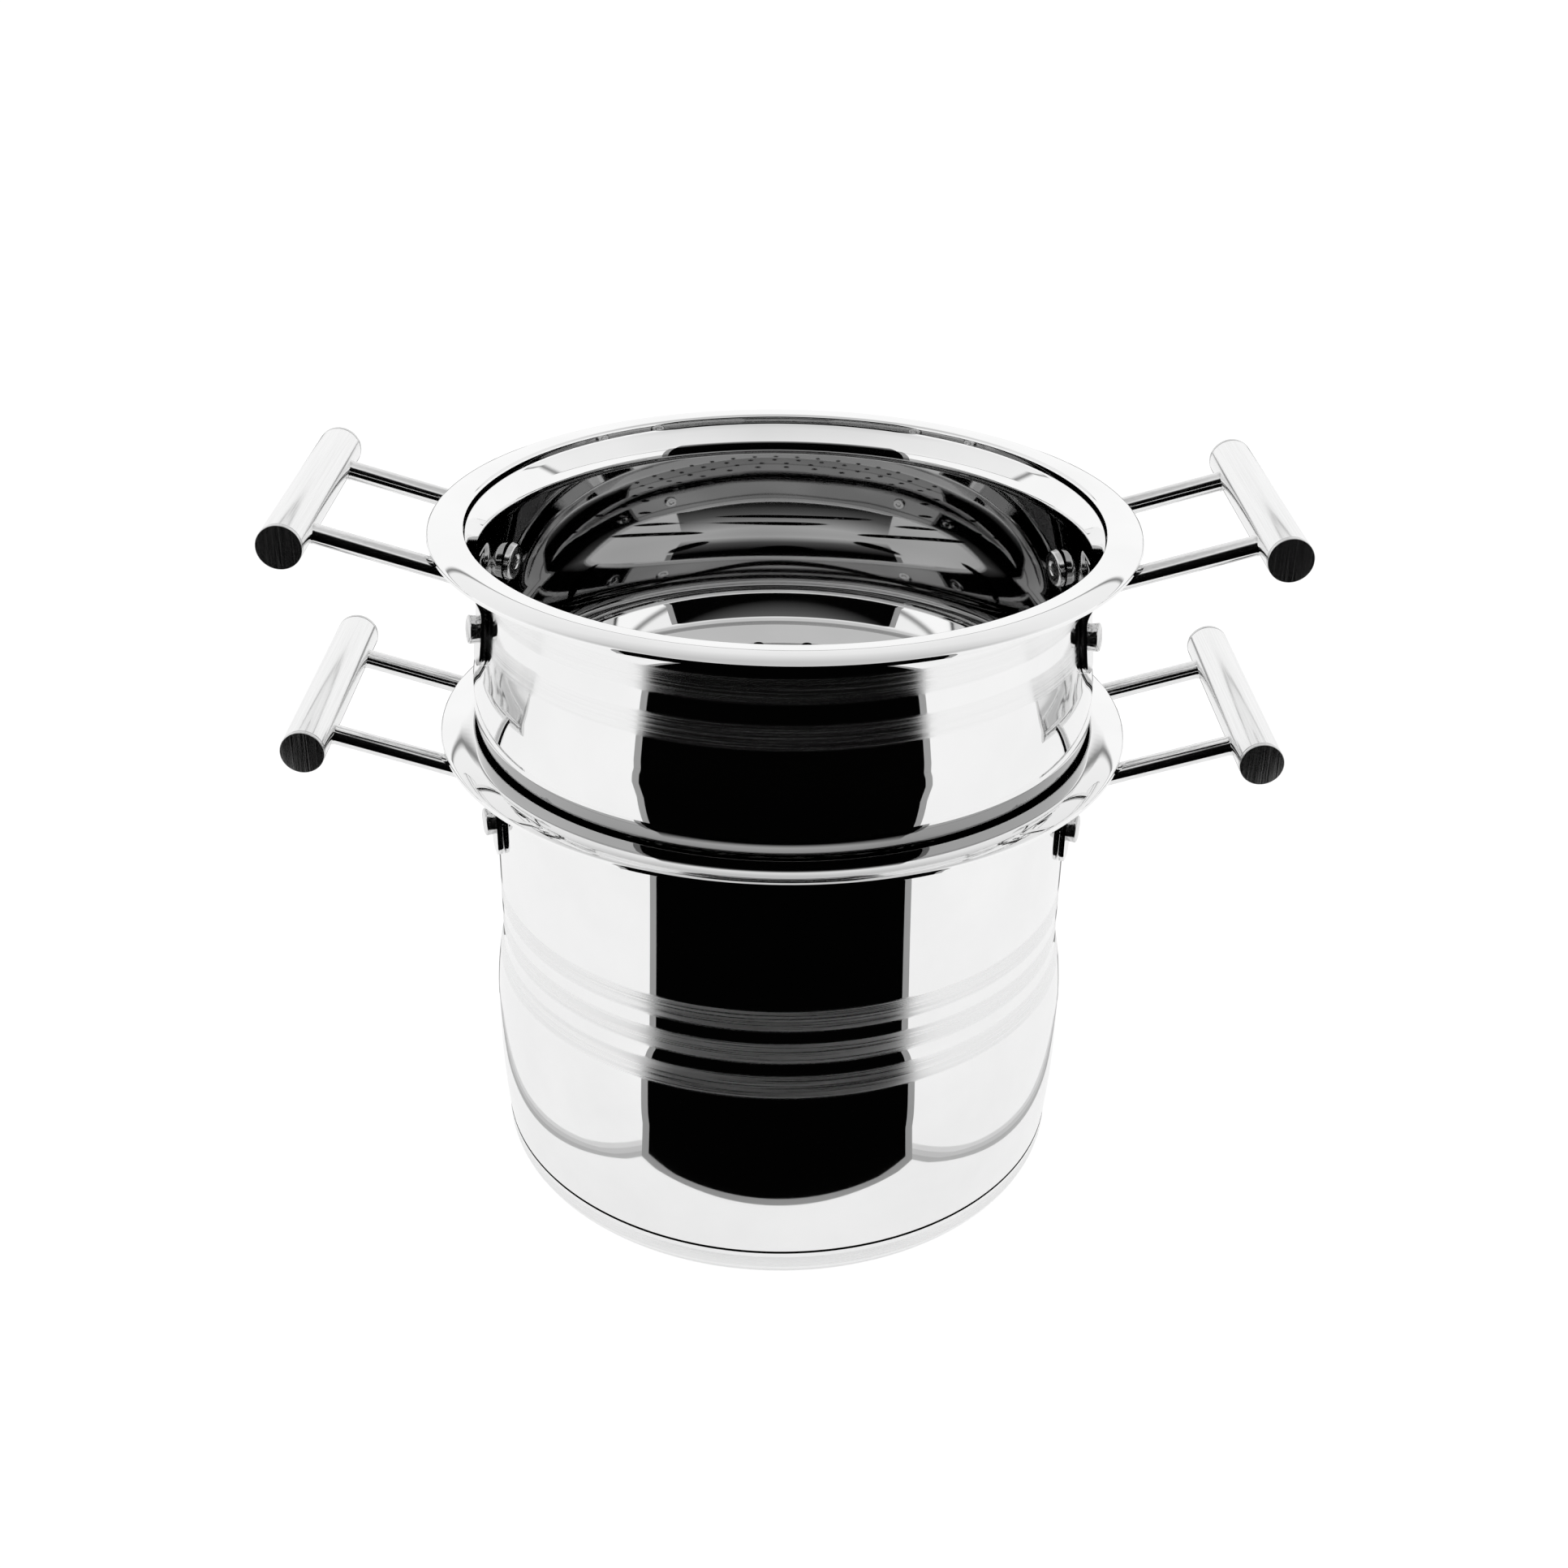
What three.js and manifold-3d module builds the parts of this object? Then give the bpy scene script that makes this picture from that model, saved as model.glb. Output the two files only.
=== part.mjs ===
// Two-tier couscous pot in polished stainless steel: a stew pot and the steamer that stands in its mouth.
// Millimetres, +Z up. The origin is the centre of the underside; the handles point along +X and -X.
import * as THREE from 'three';
import { mergeVertices } from 'three/addons/utils/BufferGeometryUtils.js';
import Module from 'manifold-3d';

// Sheet and fits
const SHEET = 0.8;
const GAP = 0.3;

// Heights of the two flanges above the table, and the outside depth of the steamer
const POT_RIM_Z = 194;
const STEAMER_RIM_Z = 275;
const STEAMER_DEPTH = 94;

// Rim, the same on both vessels: outside radii, and depths below the flange
const WALL_TOP_R = 116.9;
const WALL_TOP_DEPTH = 9.6;
const LEDGE_TOP_R = 119.9;
const LEDGE_TOP_DEPTH = 5.2;
const SEAT_R = 120.8;
const SEAT_BOTTOM_DEPTH = 4.2;
const SEAT_LEAN = 0.2;
const FLANGE_OUTER_R = 134;
const FLANGE_DROP = 0.8;
const LIP_ROUND = 1.6;
const LIP_DEPTH = 3.2;

// Walls, outside radii and heights
const NECK_BLEND_DEPTH = 17;
const POT_NECK_R = 114.5;
const POT_BELLY_R = 118.1;
const POT_STEP_TOP_Z = 101;
const POT_STEP_TOP_PULL = 3;
const POT_STEP_BOTTOM_Z = 72;
const POT_STEP_BOTTOM_PULL = 15.5;
const POT_BELLY_CURVE_Z = 52;
const STEAMER_NECK_R = 114.9;
const STEAMER_BELLY_R = 120.8;
const STEAMER_STEP_TOP_DEPTH = 25;
const STEAMER_STEP_BOTTOM_DEPTH = 67;
const STEAMER_FOOT_R = 117.26;
const STEAMER_FOOT_LEAN = 0.227;
const STEAMER_CORNER_R = 9;

// Base: an aluminium disc between the pot's floor and a pressed steel capsule
const SEAM_Z = 15.6;
const SEAM_HEIGHT = 0.7;
const SEAM_R = 116.2;
const SPREADER_THICK = 5;
const CAPSULE_CORNER_WIDE = 12;
const CAPSULE_CORNER_TALL = 11.5;
const POT_FLOOR_Z = SHEET + GAP + SPREADER_THICK + GAP;
const POT_FLOOR_R = 106;

// Perforated floor of the steamer: rows of round holes about a plain middle
const HOLE_R = 2.3;
const PUNCH_LENGTH = 4;
const HOLE_ROWS = [
  { radius: 58, count: 16 },
  { radius: 68, count: 20 },
  { radius: 78, count: 22 },
  { radius: 88, count: 26 },
];

// Handles: places are from the pot's axis and the flange of the vessel that carries them
const GRIP_R = 8.35;
const GRIP_LENGTH = 110;
const GRIP_WALL = 1.2;
const GRIP_X = 178;
const GRIP_RISE = 5;
const CAP_THICK = 1.8;
const CAP_CHAMFER = 0.4;
const CAP_SPIGOT = 4;
const ROD_R = 3.75;
const ROD_SPREAD = 34.5;
const ROD_SLOPE = 0.3;
const BEND_X = 123.5;
const STRAP_THICK = 2.2;
const STRAP_WIDE = 13;
const STRAP_TOP_DEPTH = 27;
const STRAP_BOTTOM_DEPTH = 47.5;
const STRAP_TIP_WIDE = 8;
const STRAP_TIP_LENGTH = 3;
const STEAMER_STRAP_SLOPE = 0.148;

// Rivets: shank, tall head on the strap, wide head inside the wall
const RIVET_DEPTH = 34;
const STEAMER_RIVET_R = 116.15;
const SHANK_R = 3;
const OUTER_HEAD_R = 5.4;
const OUTER_HEAD_TALL = 3.6;
const OUTER_HEAD_CROWN = 0.8;
const INNER_HEAD_R = 7.7;
const INNER_HEAD_TALL = 2.4;
const INNER_HEAD_CLEAR = 1.1;
const DRILL_LENGTH = 16;

// What the handles meet on each vessel: the flange's height, and the radius and slope of the wall at the
// rivets. The straps lie along that slope, and their angle about Z follows from the rods' spread.
const POT = { rimZ: POT_RIM_Z, wallR: POT_NECK_R, slope: 0 };
const STEAMER = { rimZ: STEAMER_RIM_Z, wallR: STEAMER_RIVET_R, slope: STEAMER_STRAP_SLOPE };
for (const vessel of [POT, STEAMER]) {
  vessel.strapR = (depth) => vessel.wallR + GAP + STRAP_THICK / 2 + (depth - RIVET_DEPTH) * vessel.slope;
  vessel.angle = Math.asin(ROD_SPREAD / vessel.strapR(STRAP_TOP_DEPTH));
}

// How finely round shapes are divided
const VESSEL_SIDES = 48;
const SMALL_SIDES = 12;
const GRIP_SIDES = 16;
const ARM_SIDES = 8;
const HOLE_SIDES = 6;
const CURVE_STEPS = 3;
const BEND_STEPS = 6;

const wasm = await Module();
wasm.setup();

// A closed geometry as a solid that can be joined and cut.
function solidOf(geometry) {
  const bare = geometry.clone();
  bare.deleteAttribute('normal');
  bare.deleteAttribute('uv');
  const merged = mergeVertices(bare, 1e-4);
  const corners = merged.index.array;
  const kept = [];
  for (let i = 0; i < corners.length; i += 3) {
    const [a, b, c] = corners.slice(i, i + 3);
    if (a !== b && b !== c && c !== a) kept.push(a, b, c);
  }
  const vertProperties = merged.attributes.position.array;
  return new wasm.Manifold(new wasm.Mesh({ numProp: 3, vertProperties, triVerts: new Uint32Array(kept) }));
}

// A solid as a geometry again.
function geometryOf(solid) {
  const { vertProperties, triVerts } = solid.getMesh();
  const geometry = new THREE.BufferGeometry();
  geometry.setAttribute('position', new THREE.BufferAttribute(vertProperties, 3));
  geometry.setIndex(new THREE.BufferAttribute(triVerts, 1));
  geometry.computeVertexNormals();
  return geometry;
}

// Points of a side profile moved sideways by the sheet's thickness, to the left of the way it runs.
function offset(points, distance) {
  return points.map((point, i) => {
    const before = points[Math.max(i - 1, 0)];
    const after = points[Math.min(i + 1, points.length - 1)];
    const arriving = i > 0 ? point.clone().sub(before).normalize() : after.clone().sub(point).normalize();
    const leaving = i < points.length - 1 ? after.clone().sub(point).normalize() : arriving;
    const along = arriving.clone().add(leaving).normalize();
    const spread = distance / along.dot(arriving);
    return new THREE.Vector2(point.x - along.y * spread, point.y + along.x * spread);
  });
}

// Sheet metal spun about Z: the outside of the wall is given, from the floor's middle to the lip.
function spunSheet(path) {
  const outside = path.getPoints(CURVE_STEPS);
  const inside = offset(outside, SHEET).reverse();
  return spun([...outside, ...inside], VESSEL_SIDES);
}

// A closed profile of radius and height, spun about Z.
function spun(profile, sides) {
  return new THREE.LatheGeometry(profile, sides).rotateX(Math.PI / 2);
}

// Rim, drawn on from the top of the neck: ledge, lid seat, slightly domed flange and turned-down lip.
function drawRim(path, rimZ, neckR) {
  const lipR = FLANGE_OUTER_R - SHEET;
  const flangeEdgeZ = rimZ - SHEET - FLANGE_DROP;
  const ledgeSlope = (WALL_TOP_DEPTH - LEDGE_TOP_DEPTH) / (LEDGE_TOP_R - WALL_TOP_R);
  const bendDepth = WALL_TOP_DEPTH + (WALL_TOP_R - neckR) * ledgeSlope;
  path.lineTo(neckR, rimZ - NECK_BLEND_DEPTH);
  path.quadraticCurveTo(neckR, rimZ - bendDepth, WALL_TOP_R, rimZ - WALL_TOP_DEPTH);
  path.lineTo(LEDGE_TOP_R, rimZ - LEDGE_TOP_DEPTH);
  path.lineTo(SEAT_R, rimZ - SEAT_BOTTOM_DEPTH);
  path.lineTo(SEAT_R + SEAT_LEAN, rimZ - SHEET);
  path.lineTo(lipR - LIP_ROUND, flangeEdgeZ);
  path.quadraticCurveTo(lipR, flangeEdgeZ, lipR, rimZ - LIP_DEPTH);
}

// A drill for a rivet hole: it crosses a vessel's wall squarely at the given angle about Z.
function drill(vessel, angle, height) {
  const cutter = new THREE.CylinderGeometry(SHANK_R + GAP, SHANK_R + GAP, DRILL_LENGTH, ARM_SIDES);
  cutter.rotateZ(Math.PI / 2).rotateY(-Math.atan(vessel.slope));
  cutter.translate(vessel.wallR, 0, height).rotateZ(angle);
  return solidOf(cutter);
}

// A vessel's sheet with its four rivet holes.
function drilled(sheet, vessel) {
  const angles = [0, Math.PI].flatMap((side) => [side - vessel.angle, side + vessel.angle]);
  return angles.reduce(
    (body, angle) => body.subtract(drill(vessel, angle, vessel.rimZ - RIVET_DEPTH)),
    solidOf(sheet),
  );
}

// Stew pot: floor, rounded corner inside the capsule, belly, waist and rim.
function potBody() {
  const path = new THREE.Path();
  const cornerR = SEAM_R - SHEET - GAP * 2;
  path.moveTo(0, POT_FLOOR_Z);
  path.lineTo(POT_FLOOR_R, POT_FLOOR_Z);
  path.quadraticCurveTo(cornerR, POT_FLOOR_Z, cornerR, SEAM_Z);
  path.lineTo(SEAM_R, SEAM_Z + SEAM_HEIGHT);
  path.quadraticCurveTo(POT_BELLY_R, (SEAM_Z + POT_BELLY_CURVE_Z) / 2, POT_BELLY_R, POT_BELLY_CURVE_Z);
  path.lineTo(POT_BELLY_R, POT_STEP_BOTTOM_Z);
  const stepStart = POT_STEP_BOTTOM_Z + POT_STEP_BOTTOM_PULL;
  const stepEnd = POT_STEP_TOP_Z - POT_STEP_TOP_PULL;
  path.bezierCurveTo(POT_BELLY_R, stepStart, POT_NECK_R, stepEnd, POT_NECK_R, POT_STEP_TOP_Z);
  drawRim(path, POT_RIM_Z, POT_NECK_R);
  return geometryOf(drilled(spunSheet(path), POT));
}

// Steamer: perforated floor, rounded corner that stands on the pot's ledge, belly, waist and rim.
// Below the belly the wall draws in to pass through the pot's mouth.
function steamerBody() {
  const path = new THREE.Path();
  const floorZ = STEAMER_RIM_Z - STEAMER_DEPTH;
  const stepTop = STEAMER_RIM_Z - STEAMER_STEP_TOP_DEPTH;
  const stepBottom = STEAMER_RIM_Z - STEAMER_STEP_BOTTOM_DEPTH;
  const cornerX = STEAMER_FOOT_R - STEAMER_CORNER_R * Math.cos(STEAMER_FOOT_LEAN);
  const cornerZ = floorZ + STEAMER_CORNER_R;
  const footZ = cornerZ - STEAMER_CORNER_R * Math.sin(STEAMER_FOOT_LEAN);
  const shoulderZ = footZ + (STEAMER_BELLY_R - STEAMER_FOOT_R) / Math.tan(STEAMER_FOOT_LEAN);
  const pull = (stepTop - stepBottom) / 3;
  path.moveTo(0, floorZ);
  path.lineTo(cornerX, floorZ);
  path.absarc(cornerX, cornerZ, STEAMER_CORNER_R, -Math.PI / 2, -STEAMER_FOOT_LEAN);
  path.quadraticCurveTo(STEAMER_BELLY_R, shoulderZ, STEAMER_BELLY_R, stepBottom);
  path.bezierCurveTo(
    STEAMER_BELLY_R, stepBottom + pull, STEAMER_NECK_R, stepTop - pull, STEAMER_NECK_R, stepTop,
  );
  drawRim(path, STEAMER_RIM_Z, STEAMER_NECK_R);
  let body = drilled(spunSheet(path), STEAMER);
  for (const { radius, count } of HOLE_ROWS) {
    for (let i = 0; i < count; i += 1) {
      const punch = new THREE.CylinderGeometry(HOLE_R, HOLE_R, PUNCH_LENGTH, HOLE_SIDES);
      punch.rotateX(Math.PI / 2).translate(radius, 0, floorZ).rotateZ((i / count) * Math.PI * 2);
      body = body.subtract(solidOf(punch));
    }
  }
  return geometryOf(body);
}

// Capsule: a shallow pressed cup whose upright edge ends at the seam.
function baseCapsule() {
  const path = new THREE.Path();
  path.moveTo(0, 0);
  path.lineTo(SEAM_R - CAPSULE_CORNER_WIDE, 0);
  const middleX = SEAM_R - CAPSULE_CORNER_WIDE;
  const size = [CAPSULE_CORNER_WIDE, CAPSULE_CORNER_TALL];
  path.absellipse(middleX, CAPSULE_CORNER_TALL, ...size, -Math.PI / 2, 0);
  path.lineTo(SEAM_R, SEAM_Z - GAP);
  return geometryOf(solidOf(spunSheet(path)));
}

// Aluminium disc that fills the capsule under the pot's floor, with a bevelled edge.
function heatSpreader() {
  const bottom = SHEET + GAP;
  const top = bottom + SPREADER_THICK;
  const flatR = SEAM_R - CAPSULE_CORNER_WIDE - GAP;
  const edgeR = flatR + CAPSULE_CORNER_WIDE / 2;
  const profile = [
    [0, bottom],
    [flatR, bottom],
    [edgeR, bottom + SPREADER_THICK / 2],
    [edgeR, top - SHEET],
    [POT_FLOOR_R, top],
    [0, top],
  ];
  return geometryOf(solidOf(spun(profile.map((point) => new THREE.Vector2(...point)), VESSEL_SIDES)));
}

// Grip: a plain tube along Y.
function gripTube() {
  const half = GRIP_LENGTH / 2 - CAP_THICK - GAP;
  const bore = GRIP_R - GRIP_WALL;
  const corners = [[bore, -half], [GRIP_R, -half], [GRIP_R, half], [bore, half], [bore, -half]];
  return new THREE.LatheGeometry(corners.map((point) => new THREE.Vector2(...point)), GRIP_SIDES);
}

// End cap: a flat disc with a chamfered edge and a spigot in the tube, facing +Y.
function endCap() {
  const spigotR = GRIP_R - GRIP_WALL - GAP;
  const profile = [
    [0, -CAP_SPIGOT],
    [spigotR, -CAP_SPIGOT],
    [spigotR, 0],
    [GRIP_R, 0],
    [GRIP_R, CAP_THICK - CAP_CHAMFER],
    [GRIP_R - CAP_CHAMFER, CAP_THICK],
    [0, CAP_THICK],
  ];
  return new THREE.LatheGeometry(profile.map((point) => new THREE.Vector2(...point)), GRIP_SIDES);
}

// Arm: a rod that slopes down from the grip, bends and is flattened to a strap on the vessel's wall.
// One cylinder is led along the route; its round section turns into a flat one on the way round the bend.
function arm(vessel, endSign) {
  const y = endSign * ROD_SPREAD;
  const outward = new THREE.Vector3(Math.cos(vessel.angle), endSign * Math.sin(vessel.angle), 0);
  const onRod = (x) => new THREE.Vector3(x, y, GRIP_RISE - (GRIP_X - x) * ROD_SLOPE);
  const onStrap = (depth) => outward.clone().multiplyScalar(vessel.strapR(depth)).setZ(-depth);
  const strapTop = onStrap(STRAP_TOP_DEPTH);
  const bend = new THREE.QuadraticBezierCurve3(onRod(BEND_X), onRod(strapTop.x), strapTop);
  const stations = [{ at: onRod(GRIP_X), flat: 0, wide: ROD_R }];
  for (let i = 0; i <= BEND_STEPS; i += 1) {
    const flat = i / BEND_STEPS;
    const wide = THREE.MathUtils.lerp(ROD_R, STRAP_WIDE / 2, flat);
    stations.push({ at: bend.getPoint(flat), flat, wide });
  }
  stations.push({ at: onStrap(STRAP_BOTTOM_DEPTH - STRAP_TIP_LENGTH), flat: 1, wide: STRAP_WIDE / 2 });
  stations.push({ at: onStrap(STRAP_BOTTOM_DEPTH), flat: 1, wide: STRAP_TIP_WIDE / 2 });

  const rings = stations.length - 1;
  const rod = new THREE.CylinderGeometry(1, 1, rings, ARM_SIDES, rings);
  const places = rod.attributes.position;
  for (let i = 0; i < places.count; i += 1) {
    const { at, flat, wide } = stations[Math.round(rings / 2 - places.getY(i))];
    const turn = endSign * vessel.angle * flat;
    const across = new THREE.Vector3(-Math.sin(turn), Math.cos(turn), 0);
    const up = across.clone().cross(bend.getTangent(flat)).normalize();
    const reach = Math.max(Math.abs(places.getX(i)), Math.abs(places.getZ(i)), GAP);
    const squared = THREE.MathUtils.lerp(1, 1 / reach, flat);
    const thick = THREE.MathUtils.lerp(ROD_R, STRAP_THICK / 2, flat);
    const place = at.clone().addScaledVector(up, places.getX(i) * squared * thick);
    place.addScaledVector(across, places.getZ(i) * squared * wide);
    places.setXYZ(i, place.x, place.y, place.z);
  }
  const grip = new THREE.CylinderGeometry(GRIP_R + GAP, GRIP_R + GAP, GRIP_LENGTH, GRIP_SIDES * 2);
  grip.translate(GRIP_X, 0, GRIP_RISE);
  const rivetHole = drill(vessel, endSign * vessel.angle, -RIVET_DEPTH);
  return geometryOf(solidOf(rod).subtract(solidOf(grip)).subtract(rivetHole));
}

// Rivet along +X, square to the vessel's wall: wide head inside, shank, tall crowned head outside.
function rivet(vessel) {
  const innerFace = -SHEET - INNER_HEAD_CLEAR;
  const outerFace = GAP + STRAP_THICK + GAP;
  const crown = outerFace + OUTER_HEAD_TALL;
  const profile = [
    [0, innerFace - INNER_HEAD_TALL],
    [INNER_HEAD_R - OUTER_HEAD_CROWN, innerFace - INNER_HEAD_TALL],
    [INNER_HEAD_R, innerFace - OUTER_HEAD_CROWN],
    [INNER_HEAD_R, innerFace],
    [SHANK_R, innerFace],
    [SHANK_R, outerFace],
    [OUTER_HEAD_R, outerFace],
    [OUTER_HEAD_R, crown],
    [OUTER_HEAD_R / 2, crown + OUTER_HEAD_CROWN],
    [0, crown + OUTER_HEAD_CROWN],
  ];
  const points = profile.map((point) => new THREE.Vector2(...point));
  const pin = new THREE.LatheGeometry(points, SMALL_SIDES).rotateZ(-Math.PI / 2);
  return pin.rotateY(-Math.atan(vessel.slope)).translate(vessel.wallR, 0, 0);
}

// Finishes
const polishedSteel = { color: 0xd8dadb, roughness: 0.08, metalness: 1 };
const brushedSteel = { color: 0xb9bbbc, roughness: 0.35, metalness: 1 };
const aluminium = { color: 0xc4c6c8, roughness: 0.4, metalness: 1 };

function part(name, geometry, finish) {
  const mesh = new THREE.Mesh(geometry, new THREE.MeshStandardMaterial(finish));
  mesh.name = name;
  return mesh;
}

// One handle with its grip, caps, arms and rivets, in the frame of its vessel's flange.
function handle(name, vessel, turned) {
  const group = new THREE.Group();
  const ends = turned ? { back: -1, front: 1 } : { front: -1, back: 1 };
  const grip = part(`${name}_grip`, gripTube(), polishedSteel);
  grip.position.set(GRIP_X, 0, GRIP_RISE);
  group.add(grip);
  for (const [end, sign] of Object.entries(ends)) {
    const cap = part(`${name}_${end}_cap`, endCap(), brushedSteel);
    cap.position.set(GRIP_X, sign * (GRIP_LENGTH / 2 - CAP_THICK), GRIP_RISE);
    if (sign < 0) cap.rotation.z = Math.PI;
    const pin = part(`${name}_${end}_rivet`, rivet(vessel), brushedSteel);
    pin.position.z = -RIVET_DEPTH;
    pin.rotation.z = sign * vessel.angle;
    group.add(cap, part(`${name}_${end}_arm`, arm(vessel, sign), polishedSteel), pin);
  }
  group.position.z = vessel.rimZ;
  if (turned) group.rotation.z = Math.PI;
  return group;
}

const couscousPot = new THREE.Group();
couscousPot.add(
  part('base_capsule', baseCapsule(), polishedSteel),
  part('heat_spreader', heatSpreader(), aluminium),
  part('pot_body', potBody(), polishedSteel),
  part('steamer_body', steamerBody(), polishedSteel),
);
for (const [name, vessel] of [['pot', POT], ['steamer', STEAMER]]) {
  for (const [side, turned] of [['right', false], ['left', true]]) {
    couscousPot.add(handle(`${name}_${side}`, vessel, turned));
  }
}

export default couscousPot;
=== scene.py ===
import math

import bmesh
import bpy
from mathutils import Euler, Matrix, Vector


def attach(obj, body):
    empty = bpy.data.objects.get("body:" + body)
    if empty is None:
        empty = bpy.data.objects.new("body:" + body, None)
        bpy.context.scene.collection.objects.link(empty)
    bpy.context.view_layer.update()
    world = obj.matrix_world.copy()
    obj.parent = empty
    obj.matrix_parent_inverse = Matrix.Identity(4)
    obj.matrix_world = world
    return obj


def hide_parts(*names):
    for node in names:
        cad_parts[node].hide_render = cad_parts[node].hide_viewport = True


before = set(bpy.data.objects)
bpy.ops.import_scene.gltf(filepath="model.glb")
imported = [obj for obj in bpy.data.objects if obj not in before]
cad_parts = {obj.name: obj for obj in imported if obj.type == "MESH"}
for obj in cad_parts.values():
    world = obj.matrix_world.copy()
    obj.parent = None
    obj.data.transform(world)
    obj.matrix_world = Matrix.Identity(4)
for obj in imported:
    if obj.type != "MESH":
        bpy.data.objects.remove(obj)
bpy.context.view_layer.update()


# Base capsule: a shallow cup of stainless sheet, pressed hot over the aluminium disc under the pot.
# Its rounded corner runs into a short upright edge, which ends just below the pot's wall and leaves
# a fine seam, whose faces are painted near-black as shade. Sizes are in millimetres here and below, and are
# brought to metres at the end.
SHEET = 0.8
SEAM_R = 116.2
CAPSULE_CORNER = 11.7
CAPSULE_TOP = 15
CAPSULE_BANDS = [(1.5, 6.5), (7.5, 13.5)]
TO_METRES = (0.001, 0.001, 0.001)
ROUND_STEPS = 10
TURN_STEPS = 192
MERGE_WITHIN = 1e-4
CREASE = math.radians(38)
# A face slopes up or lies flat when the upward part of its normal is more than these.
SLOPES_UP = 0.3
LIES_FLAT = 0.9


def spun(corners, steps=TURN_STEPS):
    """A side line of (radius, height, rounding) corners, turned once about Z."""
    bm = bmesh.new()
    line = [bm.verts.new((radius, 0, height)) for radius, height, _ in corners]
    for start, end in zip(line, line[1:]):
        bm.edges.new((start, end))
    for vert, (_, _, rounding) in zip(line, corners):
        if rounding:
            bmesh.ops.bevel(bm, geom=[vert], offset=rounding, offset_type="OFFSET", affect="VERTICES",
                            segments=ROUND_STEPS, profile=0.5, material=-1)
    bmesh.ops.spin(bm, geom=bm.verts[:] + bm.edges[:], cent=(0, 0, 0), axis=(0, 0, 1), dvec=(0, 0, 0),
                   angle=math.tau, steps=steps, use_merge=True, use_duplicate=False)
    bmesh.ops.remove_doubles(bm, verts=bm.verts, dist=MERGE_WITHIN)
    bmesh.ops.recalc_face_normals(bm, faces=bm.faces)
    return bm


def walled(bm, bright_from=None):
    """The turned surface as sheet metal, which grows inwards. The new faces are the inner side and take the
    second material. Where bright_from is given, those above it, the floor and its edge keep the first."""
    lowest = min(bm.faces, key=lambda face: face.calc_center_median().z)
    if lowest.normal.z > 0:
        bmesh.ops.reverse_faces(bm, faces=bm.faces)
    outside = set(bm.faces)
    bmesh.ops.solidify(bm, geom=bm.faces[:], thickness=SHEET)
    for face in bm.faces:
        middle = face.calc_center_median()
        bright = bright_from and (middle.z > bright_from or face.normal.z > SLOPES_UP)
        face.material_index = 0 if face in outside or bright else 1
    return bm


def darkened(bm, low, high):
    """The outer and upper faces between two heights get the third material, which is painted shade."""
    for face in bm.faces:
        middle = face.calc_center_median()
        outer = face.normal.dot(middle - Vector((0, 0, middle.z))) > 0
        if low < middle.z < high and (outer or face.normal.z > LIES_FLAT):
            face.material_index = 2
    return bm


def placed(bm, name, materials, body, cad_node):
    """A finished piece in metres, smooth but for its creases, on its body and in place of its CAD node."""
    bmesh.ops.scale(bm, vec=TO_METRES, verts=bm.verts)
    mesh = bpy.data.meshes.new(name)
    bm.to_mesh(mesh)
    bm.free()
    for material in materials:
        mesh.materials.append(material)
    mesh.shade_smooth()
    mesh.set_sharp_from_angle(angle=CREASE)
    piece = bpy.data.objects.new(name, mesh)
    bpy.context.scene.collection.objects.link(piece)
    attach(piece, body)
    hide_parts(cad_node)
    return piece


def linear(hex_colour):
    """An sRGB hex value as linear red, green, blue and alpha."""
    parts = [int(hex_colour[i:i + 2], 16) / 255 for i in (1, 3, 5)]
    return (*[c / 12.92 if c <= 0.04045 else ((c + 0.055) / 1.055) ** 2.4 for c in parts], 1)


def node(tree, kind, links=(), stops=(), **settings):
    """A node with its settings; links are (input, output socket or plain value) pairs, stops a ramp's."""
    made = tree.nodes.new(kind)
    for key, value in settings.items():
        setattr(made, key, value)
    for key, value in links:
        if isinstance(value, bpy.types.NodeSocket):
            tree.links.new(value, made.inputs[key])
        else:
            made.inputs[key].default_value = value
    for position, _ in stops[1:-1]:
        made.color_ramp.elements.new(position)
    for element, (position, colour) in zip(made.color_ramp.elements if stops else (), stops):
        element.position = position
        element.color = colour
    return made


def metal(name):
    """A bare metal, with its node tree and its shader."""
    material = bpy.data.materials.new(name)
    material.use_nodes = True
    shader = material.node_tree.nodes["Principled BSDF"]
    shader.inputs["Metallic"].default_value = 1
    return material, material.node_tree, shader


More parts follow.
